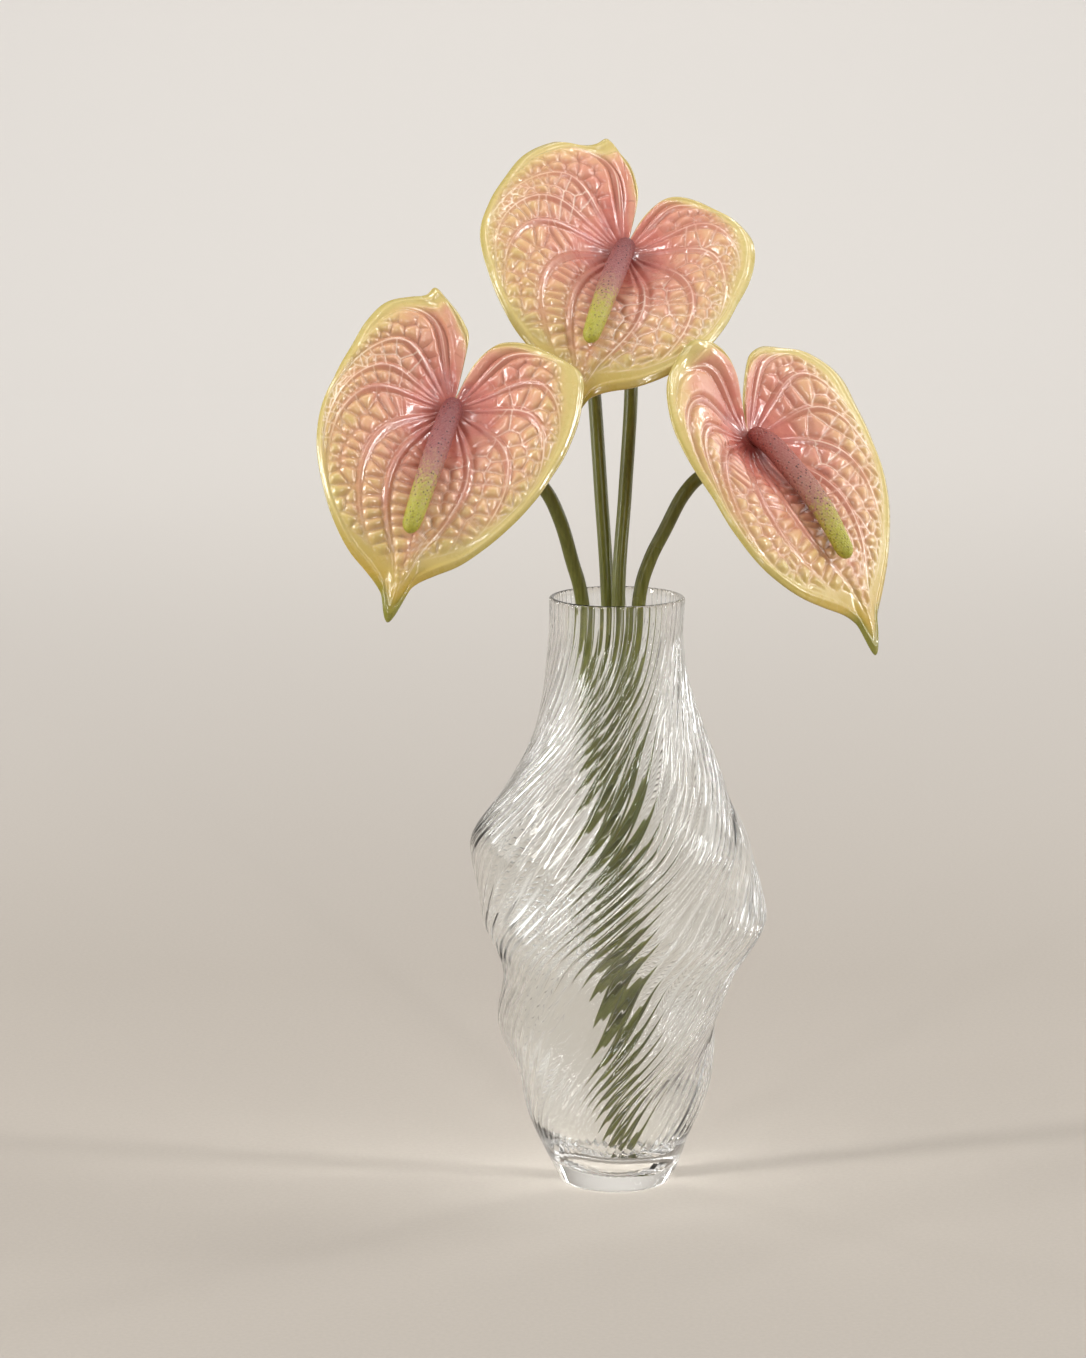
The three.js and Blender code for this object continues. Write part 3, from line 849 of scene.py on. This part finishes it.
def border_distance(points, seeds):
    """How far each point is from its cell's border, how much all borders crowd it, and its cell's number."""
    gaps = np.hypot(points[:, None, 0] - seeds[None, :, 0], points[:, None, 1] - seeds[None, :, 1])
    nearest = gaps.argmin(1)
    own = gaps[np.arange(len(points)), nearest]
    between = np.hypot(*(seeds[nearest][:, None] - seeds[None]).transpose(2, 0, 1))
    between[between < 1e-6] = 1e-6
    borders = (gaps**2 - own[:, None] ** 2) / (2 * between)
    borders[np.arange(len(points)), nearest] = 1e3
    return borders.min(1), np.exp(-BLENDING * borders).sum(1), nearest


def blade_fields(form, flower, settings, end, along, x, y, reach, angle):
    """The blade's relief in millimetres and the values that its colours follow, on a grid of points."""
    chance = np.random.default_rng(flower["seed"])
    out = np.hypot(x, y) / reach
    degrees = np.abs(np.degrees(angle))
    starts = np.linspace(0, 180, 361)
    begin = np.empty_like(x)
    for k in range(len(along)):
        angles = np.maximum.accumulate(vein_angle(starts, along[k, 0]))
        begin[k] = np.interp(degrees[k], angles, starts)
    x_u, x_v = np.gradient(x)
    y_u, y_v = np.gradient(y)
    b_u, b_v = np.gradient(begin)
    area = x_u * y_v - x_v * y_u
    area[np.abs(area) < 1e-4] = 1e-4
    slope = np.hypot((b_u * y_v - b_v * y_u) / area, (b_v * x_u - b_u * x_v) / area)
    slope = np.maximum(slope, 0.05)

    vein = np.full(x.shape, 99.0)
    border = np.full(x.shape, 99.0)
    crowd = np.zeros(x.shape)
    swell = np.ones(x.shape)
    strength = np.ones(x.shape)
    cell = settings.cell / MM
    for side in (-1, 1):
        half = end < 0 if side < 0 else end >= 0
        veins = [start + chance.uniform(-VEIN_SCATTER, VEIN_SCATTER) for start in VEIN_STARTS[side]]
        for start in veins:
            distance = np.where(half, np.abs(begin - start) / slope, 99.0)
            strength = np.where(distance < vein, chance.uniform(*VEIN_STRENGTHS), strength)
            vein = np.minimum(vein, distance)
        for inner, outer in zip([FIRST_VEIN, *veins], [*veins, LAST_VEIN]):
            inside = half & (begin >= inner) & (begin < outer) & (out > 0.2)
            if inside.sum() < 4:
                continue
            seeds = cell_seeds(form, side, inner, outer, chance, cell * CELL_SHARES[side])
            parts = np.array_split(np.stack([x[inside], y[inside]], -1), 8)
            found = [border_distance(part, seeds) for part in parts]
            border[inside], crowd[inside], own = (np.concatenate(column) for column in zip(*found))
            swell[inside] = chance.uniform(*CELL_STRENGTHS, len(seeds))[own]

    bands = {side: curve_through(BAND_ANGLES, BAND_STARTS[side])(np.abs(end)) for side in (-1, 1)}
    band = np.where(end < 0, bands[-1], bands[1])
    inner_part = smooth_step(band + 0.005, band - 0.04, out)
    distance = np.hypot(x, y)
    from_root = 0.5 * smooth_step(4, 14, distance) + 0.5 * smooth_step(12, 36, distance)
    cells_begin = smooth_step(0.26, 0.42, out)
    collective = np.abs(out - band) * reach
    width = ROLL_WIDTH * smooth_step(-8, 34, distance) * smooth_step(1.15, 0.5, out)
    beside = np.maximum(vein - width, 0)
    # The lobes beside the notch have long folds and no cells
    folded_from = np.where(end < 0, flower["folded_from"], FOLDED_FROM)
    cellular = smooth_step(folded_from + 12, folded_from - 12, begin)
    # The halves meet in a crease down the middle, from the root to the tip
    middle = np.where(degrees < 90, np.abs(x), 99.0)
    borders = (beside, collective, middle)
    crowd = crowd * smooth_step(CELLS_FROM, 0.4, out) * cellular
    crowd = crowd + sum(np.exp(-BLENDING * gap) for gap in borders)
    edge = np.maximum(-np.log(crowd) / BLENDING, 0)

    dome = 1 - (1 - np.clip(edge / DOME_REACH, 0, 1)) ** 2
    puff = settings.puff / MM * (0.6 + 0.4 * swell) * (0.5 + 0.5 * cells_begin)
    roll = np.clip(1 - (vein / width) ** 2, 0, 1) * smooth_step(0.92, 0.6, out) * strength
    folds = FOLD_HEIGHT * np.cos(2 * np.pi * begin / FOLD_SPACING) * smooth_step(0.5, 0.25, out)
    relief = (puff * dome + settings.vein / MM * roll + folds - BORDER_DEPTH) * inner_part * from_root
    keel = bell(x, KEEL_WIDTH) * smooth_step(-50, -80, y) * smooth_step(1.0, 0.9, out)
    # The margin is rolled a little, LIP_INSET millimetres inside the edge
    lip = bell((1 - out) * reach - LIP_INSET, LIP_WIDTH)
    relief = relief + KEEL_HEIGHT * keel + LIP_HEIGHT * lip * smooth_step(20, 40, reach)

    line = bell(np.minimum(border + 2 * (1 - cells_begin * cellular), vein), LINE_WIDTH)
    plainness = np.where(end < 0, 0.2 + 0.8 * smooth_step(70, 110, begin), 1.0)
    line = line * smooth_step(CELLS_FROM, 0.5, out) * inner_part * plainness
    # The net ends in a line along the margin's band, which shows beside the tip
    outline = 0.6 * bell(collective, LINE_WIDTH) * smooth_step(80, 40, end) * smooth_step(2, 10, end)
    lobe = smooth_step(70, 150, np.abs(end))
    fade = curve_through(BLUSH_STATIONS, TIP_BLUSH)(out)
    later = curve_through(BLUSH_STATIONS, LOBE_BLUSH)(out)
    blush = fade + (later - fade) * lobe + flower["blush"] * inner_part
    # A cell is a little paler on top than in its borders
    blush = blush - 0.09 * (dome - 0.3) * cells_begin
    values = {
        "net": np.clip(line + outline, 0, 1),
        "roll": roll * smooth_step(0.06, 0.2, out) * inner_part,
        "blush": np.clip(blush, 0, 1),
        "rim": smooth_step(band - 0.12, band + 0.05, out) * 0.95,
        "tip": smooth_step(-66, -102, y) * smooth_step(0.66, 1.0, out),
        "edge": smooth_step(0.965, 1.0, out),
        # Painted shade: how much the borders of the cells are darkened
        "hollow": (1 - dome) * cells_begin * inner_part * (1 - np.clip(line, 0, 1)),
    }
    return relief, values


def blade_rings(form, flower, settings, columns, alongs):
    """Points of a blade's front on its columns and rings, and their colour values."""
    share = 2 * np.arange(columns) / columns - 1
    end = 180 * (share - COLUMN_CROWDING * np.sin(2 * np.pi * share))
    along = np.asarray(alongs)[:, None]
    x, y, reach, angle = form.place(end[None, :], along)
    reach = np.broadcast_to(reach, x.shape)
    ends = np.broadcast_to(end, x.shape)
    relief, values = blade_fields(form, flower, settings, ends, along, x, y, reach, angle)
    return np.stack([x, y, form.height(x, y, reach, ends, along) + relief], -1), values


def blade_mesh(flower, settings):
    """Points, faces and colour values of a whole blade, front and back, with a round margin."""
    form = BladeForm(flower)
    half = BLADE_THICKNESS / 2
    grids = []

    def add_rings(columns, alongs, lift):
        surface, values = blade_rings(form, flower, settings, columns, alongs)
        grids.append((surface + [0, 0, lift], values))
        return surface, values

    add_rings(COARSE_COLUMNS, np.linspace(0, FINE_FROM, COARSE_RINGS), half)
    front, values = add_rings(FINE_COLUMNS, np.linspace(FINE_FROM, 1, FINE_RINGS)[1:], half)
    outward = front[-1] - front[-3]
    outward /= np.linalg.norm(outward, axis=1)[:, None]
    last = {key: grid[-1:] for key, grid in values.items()}
    for turn in np.radians([45, 90, 135]):
        edge = front[-1] + outward * half * math.sin(turn) + [0, 0, half * math.cos(turn)]
        grids.append((edge[None], last))
    add_rings(COARSE_COLUMNS, np.linspace(1, 0, BACK_RINGS), -half)

    faces = []
    first = 0
    for (grid, _), (after, _) in zip(grids, [*grids[1:], (None, None)]):
        rings, columns, _ = grid.shape
        faces += ring_faces(rings, columns, first)
        first += rings * columns
        if after is None:
            continue
        lower = first - columns
        if columns == after.shape[1]:
            faces += ring_faces(2, columns, lower)
        elif columns < after.shape[1]:
            faces += double_faces(lower, first, columns, turned=False)
        else:
            faces += double_faces(first, lower, after.shape[1], turned=True)
    faces += fan_faces(COARSE_COLUMNS, 0, first, turned=True)
    faces += fan_faces(COARSE_COLUMNS, first - COARSE_COLUMNS, first + 1)
    points = np.concatenate([*(grid.reshape(-1, 3) for grid, _ in grids), [[0, 0, half], [0, 0, -half]]])
    values = {key: np.concatenate([*(grid[key].ravel() for _, grid in grids), [0, 0]]) for key in last}
    values["blush"][-2:] = 1.0
    # The columns run clockwise seen from the front, so each face is turned to point outwards
    return points, [face[::-1] for face in faces], values


def double_faces(few, many, columns, turned):
    """Faces between a ring and one with twice its points."""
    faces = []
    for j in range(columns):
        start = few + j
        end = few + (j + 1) % columns
        first = many + 2 * j
        middle = many + 2 * j + 1
        last = many + (2 * j + 2) % (2 * columns)
        found = [[start, middle, first], [start, end, middle], [end, last, middle]]
        faces += [face[::-1] for face in found] if turned else found
    return faces


# Spadices, stems and the young flower

def spadix_rings(flower):
    """Rings of points of a spadix, beaded with florets, and how deep in their creases each point is."""
    tip = np.array(flower["spadix"], float)
    seat = BLADE_THICKNESS / 2
    bends = [(across * tip[0], out * tip[1], height) for across, out, height in SPADIX_BENDS]
    path = spline([(0, 0, seat), (0, 0, seat + SEAT_GAP + SPADIX_RISE), *bends, tuple(tip)], SPADIX_STEPS)
    lengths = np.append(0, np.cumsum(np.linalg.norm(np.diff(path, axis=0), axis=1)))
    even = np.linspace(0, lengths[-1], SPADIX_RINGS)
    path = np.stack([np.interp(even, lengths, path[:, i]) for i in range(3)], -1)
    width = curve_through(SPADIX_STATIONS, SPADIX_RADII)
    creases = []

    def radius_at(share, angles):
        turns = [
            count * angles + 2 * np.pi * share * lengths[-1] / spacing for count, spacing in SPADIX_SPIRALS
        ]
        bead = np.minimum(*(np.abs(np.sin(turn / 2)) for turn in turns))
        fade = smooth_step(0, 0.06, share) * smooth_step(1.0, 0.95, share)
        creases.append((1 - np.clip(bead * 2.2, 0, 1)) * fade)
        past = max((share - SPADIX_ROUND_FROM) / (1 - SPADIX_ROUND_FROM), 0)
        round_end = max(math.sqrt(max(1 - past**2, 0)), 0.02)
        base = width(min(share, SPADIX_ROUND_FROM)) * round_end
        return base + BEAD_HEIGHT * (np.clip(bead * 1.6, 0, 1) - 0.7) * fade

    rings = bar_points(path, radius_at, SPADIX_SIDES)
    along = np.repeat(np.linspace(0, 1, SPADIX_RINGS)[:, None], SPADIX_SIDES, 1)
    return rings, {"along": along, "crease": np.array(creases)}


def stem_rings(points, top_flare, radius):
    """Rings of points of a stem, cut square at its foot and slightly wider under its flower."""

    def radius_at(share, angles):
        flare = 1 + top_flare * smooth_step(0.975, 1.0, share)
        foot = 1 - 0.06 * smooth_step(0.01, 0.0, share)
        ribs = 1 + 0.008 * np.cos(5 * angles + 9 * share)
        return radius * flare * foot * ribs

    return bar_points(spline(points, STEM_STEPS), radius_at, STEM_SIDES)


def young_rings():
    """Rings of points of the rolled young blade, and how near its lapped edge each point is."""
    base = np.array(YOUNG_STEM[-1], float)
    axis = np.array(YOUNG_TIP, float) - base
    axis /= np.linalg.norm(axis)
    low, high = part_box("young_spathe")
    length = (high.z - low.z) / MM / axis[2]
    path = base + np.linspace(0, length, YOUNG_RINGS)[:, None] * axis
    width = curve_through(YOUNG_STATIONS, YOUNG_RADII)
    folds = []

    def radius_at(share, angles):
        turn = (angles / (2 * np.pi) + YOUNG_WIND * share) % 1
        folds.append(bell(1 - turn, YOUNG_FOLD_WIDTH))
        lap = turn - 0.5 - smooth_step(YOUNG_LAP, 1.0, turn)
        veins = YOUNG_VEIN_HEIGHT * np.cos(YOUNG_VEINS * 2 * np.pi * turn)
        return width(share) * (1 + YOUNG_OVERLAP * lap + veins)

    rings = bar_points(path, radius_at, YOUNG_SIDES)
    return rings, {"fold": np.array(folds)}


# Settings

class AnthuriumVaseSettings(bpy.types.PropertyGroup):
    """Sizes of the vase."""

    height: bpy.props.FloatProperty(
        name="Height",
        description="From the flat base to the rim",
        default=float(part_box("vase")[1].z),
        unit="LENGTH",
    )
    wall: bpy.props.FloatProperty(
        name="Wall",
        description="Thickness of the glass between the ribs",
        default=2.6 * MM,
        unit="LENGTH",
    )
    ribs: bpy.props.IntProperty(name="Ribs", description="Ribs round the vase", default=58, min=12, max=64)


class AnthuriumBladeSettings(bpy.types.PropertyGroup):
    """Relief and colours of the open blades."""

    puff: bpy.props.FloatProperty(
        name="Puff",
        description="How far a cell of the net stands proud of its borders",
        default=2.1 * MM,
        unit="LENGTH",
    )
    vein: bpy.props.FloatProperty(
        name="Vein", description="How far a main vein is raised", default=1.6 * MM, unit="LENGTH"
    )
    cell: bpy.props.FloatProperty(
        name="Cell",
        description="Length of a cell of the net along its vein",
        default=6.0 * MM,
        unit="LENGTH",
    )
    margin_hex: bpy.props.StringProperty(
        name="Margin colour", description="sRGB hex colour of the smooth margin", default="#cdb974"
    )
    net_hex: bpy.props.StringProperty(
        name="Net colour", description="sRGB hex colour of the fine net of veins", default="#f8e2cc"
    )


class AnthuriumStemSettings(bpy.types.PropertyGroup):
    """Size and colour of the stems."""

    radius: bpy.props.FloatProperty(
        name="Radius", description="Half the stem's thickness", default=3.2 * MM, unit="LENGTH"
    )
    stem_hex: bpy.props.StringProperty(
        name="Stem colour", description="sRGB hex colour of the stem's skin", default="#565719"
    )


class AnthuriumStageSettings(bpy.types.PropertyGroup):
    """The floor and how bright the studio is."""

    floor_hex: bpy.props.StringProperty(
        name="Floor colour", description="sRGB hex colour of the floor", default="#aaa298"
    )
    brightness: bpy.props.FloatProperty(
        name="Brightness", description="Multiplies the power of every lamp", default=1.0, min=0.0
    )


# Operators

class ANTHURIUM_OT_vase(bpy.types.Operator):
    """Add the twisted vase of clear ribbed glass"""

    bl_idname = "anthurium.vase"
    bl_label = "Vase"

    def execute(self, context):
        settings = context.scene.anthurium_vase
        outer, inner = vase_points(settings)
        rings, columns, _ = outer.shape
        inner_rings, inner_columns, _ = inner.shape
        first = rings * columns
        total = first + inner_rings * inner_columns
        centres = [[0, 0, HOLLOW_DEPTH], [0, 0, GLASS_FLOOR]]
        points = np.concatenate([outer.reshape(-1, 3), inner.reshape(-1, 3), centres])
        faces = ring_faces(rings, columns) + ring_faces(inner_rings, inner_columns, first)
        faces += bridge_faces(columns, inner_columns, (rings - 1) * columns, first)
        faces += fan_faces(columns, 0, total, turned=True)
        faces += fan_faces(inner_columns, total - inner_columns, total + 1)
        vase = add_piece("glass_vase", points, faces, clear_glass())
        # Clear glass hardly dims the lamps, so they light the stems and the floor straight through it
        vase.visible_shadow = False
        stand_for(vase, "vase")
        return {"FINISHED"}


class ANTHURIUM_OT_blades(bpy.types.Operator):
    """Add the heart-shaped waxy blades with their net of veins"""

    bl_idname = "anthurium.blades"
    bl_label = "Blades"

    def execute(self, context):
        settings = context.scene.anthurium_blades
        material = waxy_blade(settings)
        for side, flower in FLOWERS.items():
            points, faces, values = blade_mesh(flower, settings)
            blade = add_piece(f"blade_{side}", on_head(flower, points), faces, material, values)
            stand_for(blade, f"spathe_{side}")
        return {"FINISHED"}


class ANTHURIUM_OT_spadices(bpy.types.Operator):
    """Add the beaded spadices"""

    bl_idname = "anthurium.spadices"
    bl_label = "Spadices"

    def execute(self, context):
        pale = beaded_spadix("beaded_spadix_flesh", "#7e4242", "#9c625f", "#381a20")
        dark = beaded_spadix("beaded_spadix_flesh_dark", "#984c46", "#a56c60", "#3f1e1e")
        for side, flower in FLOWERS.items():
            rings, values = spadix_rings(flower)
            material = dark if side == "right" else pale
            spadix = add_bar(f"beaded_spadix_{side}", on_head(flower, rings), material, values)
            stand_for(spadix, f"spadix_{side}")
        return {"FINISHED"}


class ANTHURIUM_OT_stems(bpy.types.Operator):
    """Add the green stems from the glass floor up to the flowers"""

    bl_idname = "anthurium.stems"
    bl_label = "Stems"

    def execute(self, context):
        settings = context.scene.anthurium_stems
        material = stem_skin(settings)
        radius = settings.radius / MM
        back = BLADE_THICKNESS / 2
        for side, flower in FLOWERS.items():
            ends = on_head(flower, [[0, 0, -back - SEAT_GAP - STEM_STRAIGHT], [0, 0, -back]])
            rings = stem_rings([*flower["stem"], *ends], STEM_FLARE, radius)
            stand_for(add_bar(f"green_stem_{side}", rings, material), f"stem_{side}")
        rings = stem_rings(YOUNG_STEM, 0.0, radius)
        stand_for(add_bar("green_stem_young", rings, material), "stem_young")
        return {"FINISHED"}


class ANTHURIUM_OT_young_flower(bpy.types.Operator):
    """Add the young flower whose blade is still rolled up"""

    bl_idname = "anthurium.young_flower"
    bl_label = "Young flower"

    def execute(self, context):
        rings, values = young_rings()
        bud = add_bar("young_flower", rings, young_skin(), values)
        stand_for(bud, "young_spathe")
        return {"FINISHED"}


def add_lamp(name, place, aim, size, power):
    """A soft rectangular lamp that faces a point."""
    light = bpy.data.lights.new(name, "AREA")
    light.shape = "RECTANGLE"
    light.size, light.size_y = size
    light.energy = power
    lamp = add_object(name, light)
    lamp.location = place
    lamp.rotation_euler = (Vector(aim) - Vector(place)).to_track_quat("-Z", "Y").to_euler()


class ANTHURIUM_OT_stage(bpy.types.Operator):
    """Add the pale floor, the soft studio light and the camera"""

    bl_idname = "anthurium.stage"
    bl_label = "Stage"

    def execute(self, context):
        settings = context.scene.anthurium_stage
        # The board lies flat far past the vase and then sweeps up into a plain backdrop
        turns = np.radians(np.linspace(0, 90, 25))
        sweep = [(BEND_START + BEND_RADIUS * math.sin(t), BEND_RADIUS * (1 - math.cos(t))) for t in turns]
        profile = [(-BOARD_WIDTH, 0), *sweep, (BEND_START + BEND_RADIUS, BACKDROP_HEIGHT)]
        corners = [(x, y, z) for y, z in profile for x in (-BOARD_WIDTH, BOARD_WIDTH)]
        strips = [[2 * i, 2 * i + 1, 2 * i + 3, 2 * i + 2] for i in range(len(profile) - 1)]
        floor = add_piece("floor", np.array(corners) / MM, strips, matt_floor(settings))

        world = bpy.data.worlds.new("soft_studio")
        world.use_nodes = True
        background = world.node_tree.nodes["Background"]
        background.inputs["Color"].default_value = linear(SKY_HEX)
        background.inputs["Strength"].default_value = SKY_STRENGTH
        context.scene.world = world
        for name, place, aim, size, power in LAMPS:
            add_lamp(name, place, aim, size, power * settings.brightness)

        camera = add_object("camera", bpy.data.cameras.new("camera"))
        camera.data.lens = CAMERA_LENS
        camera.location = CAMERA_PLACE
        camera.rotation_euler = (math.radians(CAMERA_PITCH), 0, 0)
        context.scene.camera = camera
        context.scene.view_settings.view_transform = "Standard"
        for kind, count in BOUNCES.items():
            setattr(context.scene.cycles, kind, count)
        return {"FINISHED"}


class ANTHURIUM_PT_panel(bpy.types.Panel):
    """Lists the steps and their settings"""

    bl_idname = "ANTHURIUM_PT_panel"
    bl_label = "Anthurium in a glass vase"
    bl_space_type = "VIEW_3D"
    bl_region_type = "UI"
    bl_category = "Anthurium"

    def draw(self, context):
        for operator in OPERATORS:
            self.layout.operator(operator.bl_idname)
        for name in SETTINGS:
            box = self.layout.box()
            group = getattr(context.scene, name)
            for key in group.__annotations__:
                box.prop(group, key)


SETTINGS = {
    "anthurium_vase": AnthuriumVaseSettings,
    "anthurium_blades": AnthuriumBladeSettings,
    "anthurium_stems": AnthuriumStemSettings,
    "anthurium_stage": AnthuriumStageSettings,
}
OPERATORS = (
    ANTHURIUM_OT_stage,
    ANTHURIUM_OT_vase,
    ANTHURIUM_OT_stems,
    ANTHURIUM_OT_blades,
    ANTHURIUM_OT_spadices,
    ANTHURIUM_OT_young_flower,
)


def register():
    """Adds the settings, the operators and the panel to Blender."""
    for name, group in SETTINGS.items():
        bpy.utils.register_class(group)
        setattr(bpy.types.Scene, name, bpy.props.PointerProperty(type=group))
    for operator in OPERATORS:
        bpy.utils.register_class(operator)
    bpy.utils.register_class(ANTHURIUM_PT_panel)


def unregister():
    """Takes them out again."""
    bpy.utils.unregister_class(ANTHURIUM_PT_panel)
    for operator in reversed(OPERATORS):
        bpy.utils.unregister_class(operator)
    for name, group in SETTINGS.items():
        delattr(bpy.types.Scene, name)
        bpy.utils.unregister_class(group)


def main():
    """Builds everything in order."""
    register()
    bpy.ops.anthurium.stage()
    bpy.ops.anthurium.vase()
    bpy.ops.anthurium.stems()
    bpy.ops.anthurium.blades()
    bpy.ops.anthurium.spadices()
    bpy.ops.anthurium.young_flower()


if __name__ == "__main__":
    main()
